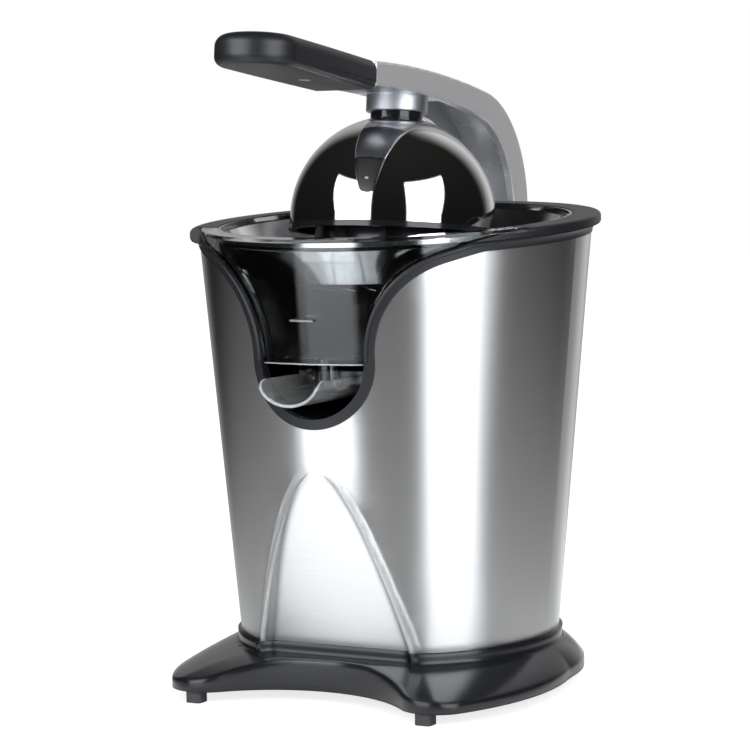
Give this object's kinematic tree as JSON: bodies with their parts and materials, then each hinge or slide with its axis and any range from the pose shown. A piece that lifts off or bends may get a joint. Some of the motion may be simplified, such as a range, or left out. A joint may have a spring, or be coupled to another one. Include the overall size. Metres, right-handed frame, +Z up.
{
  "type": "lever citrus press",
  "caption": "Lever-operated electric citrus press: tapered brushed-steel body on a winged black base, leaning rim, clear juice collector with a drip-stop spout, and a domed cup on a hinged arm.",
  "frame": {"origin": "on the worktop, under the middle of the whole length from grip tip to arm heel", "axes": "+Z up, -Y towards the spout and the grip, +X to the right as seen from the front"},
  "size_m": [0.22, 0.3008, 0.3402],
  "materials": {
    "brushed_body": "stainless sheet with fine upright brushing",
    "polished_dome": "mirror-polished stainless",
    "sieve_steel": "bright stainless",
    "rim_black": "smooth black moulding",
    "base_black": "satin black moulding",
    "housing_black": "plain black moulding",
    "clear_plastic": "clear, polished",
    "arm_silver": "die casting with satin silver paint",
    "collar_metal": "fine-turned",
    "neck_black": "polished black",
    "grip_black": "satin black moulding",
    "reamer_black": "smooth black moulding",
    "black_rubber": "matte",
    "plain_steel": "plain machined",
    "stack_steel": "varnished laminations",
    "copper_winding": "varnished wire",
    "bush_bronze": "sintered",
    "gearbox_plastic": "plain moulding",
    "gear_nylon": "natural nylon"
  },
  "bodies": {
    "housing": {"base_skirt": "base_black", "bottom_cover": "base_black", "feet": "black_rubber", "bottom_screws": "plain_steel", "cord_grommet": "black_rubber", "steel_sleeve": "brushed_body", "rim_frame": "rim_black", "inner_housing": "housing_black", "hinge_bracket": "housing_black", "bracket_screws": "plain_steel", "hinge_pin": "plain_steel", "pin_caps": "plain_steel", "motor_stack": "stack_steel", "motor_coil": "copper_winding", "motor_end_plate": "plain_steel", "motor_bushes": "bush_bronze", "gearbox_case": "gearbox_plastic", "gearbox_lid": "gearbox_plastic", "gearbox_screws": "plain_steel", "idler_pin": "plain_steel", "spindle_bush": "bush_bronze", "shaft_seal": "black_rubber", "spindle_spring": "plain_steel", "switch_strap": "plain_steel", "microswitch": "gearbox_plastic", "juice_collector": "clear_plastic", "sieve": "sieve_steel"},
    "lever": {"lever_arm": "arm_silver", "arm_cover": "grip_black", "grip_shell": "grip_black", "grip_plate": "grip_black", "grip_screw": "plain_steel", "press_collar": "collar_metal", "press_neck": "neck_black", "press_dome": "polished_dome", "dome_liner": "neck_black", "dome_screw": "plain_steel"},
    "spout": {"spout": "clear_plastic", "spout_seal": "black_rubber"},
    "plunger": {"thrust_plunger": "gearbox_plastic"},
    "spindle": {"drive_spindle": "plain_steel", "reamer_cone": "reamer_black"},
    "switch_button": {"switch_button": "gearbox_plastic"},
    "output_gear": {"output_gear": "gear_nylon"},
    "idler_gear": {"idler_gear": "gear_nylon"},
    "rotor": {"motor_rotor": "stack_steel"}
  },
  "joints": [
    {"name": "arm_lift", "type": "hinge", "parent": "housing", "child": "lever", "pos_m": [0, 0.14075, 0.238], "axis": [-1, 0, 0], "range_deg": [0, 75]},
    {"name": "spout_tilt", "type": "hinge", "parent": "housing", "child": "spout", "pos_m": [0, -0.05074, 0.168], "axis": [-1, 0, 0], "range_deg": [0, 8]},
    {"name": "spindle_press", "type": "slide", "parent": "housing", "child": "plunger", "axis": [0, 0, -1], "range_m": [0, 0.003], "stiffness_N_per_m": 2000, "springref_m": -0.006, "deforming": ["spindle_spring"]},
    {"name": "switch_press", "type": "slide", "parent": "housing", "child": "switch_button", "axis": [0, 0, -1], "range_m": [0, 0.003]},
    {"name": "rotor_spin", "type": "hinge", "parent": "housing", "child": "rotor", "pos_m": [0, 0.04525, 0.06], "axis": [0, 0, 1], "continuous": true},
    {"name": "idler_spin", "type": "hinge", "parent": "housing", "child": "idler_gear", "pos_m": [0.02971, 0.03557, 0.108], "axis": [0, 0, 1], "continuous": true},
    {"name": "output_spin", "type": "hinge", "parent": "housing", "child": "output_gear", "pos_m": [0, 0.01525, 0.114], "axis": [0, 0, 1], "continuous": true},
    {"name": "spindle_spin", "type": "hinge", "parent": "plunger", "child": "spindle", "pos_m": [0, 0.01525, 0.15], "axis": [0, 0, 1], "continuous": true}
  ],
  "couplings": [
    {"joint": "switch_press", "follows": "spindle_press", "ratio": 1},
    {"joint": "idler_spin", "follows": "rotor_spin", "ratio": -0.25},
    {"joint": "output_spin", "follows": "rotor_spin", "ratio": 0.065789},
    {"joint": "spindle_spin", "follows": "rotor_spin", "ratio": 0.065789}
  ]
}
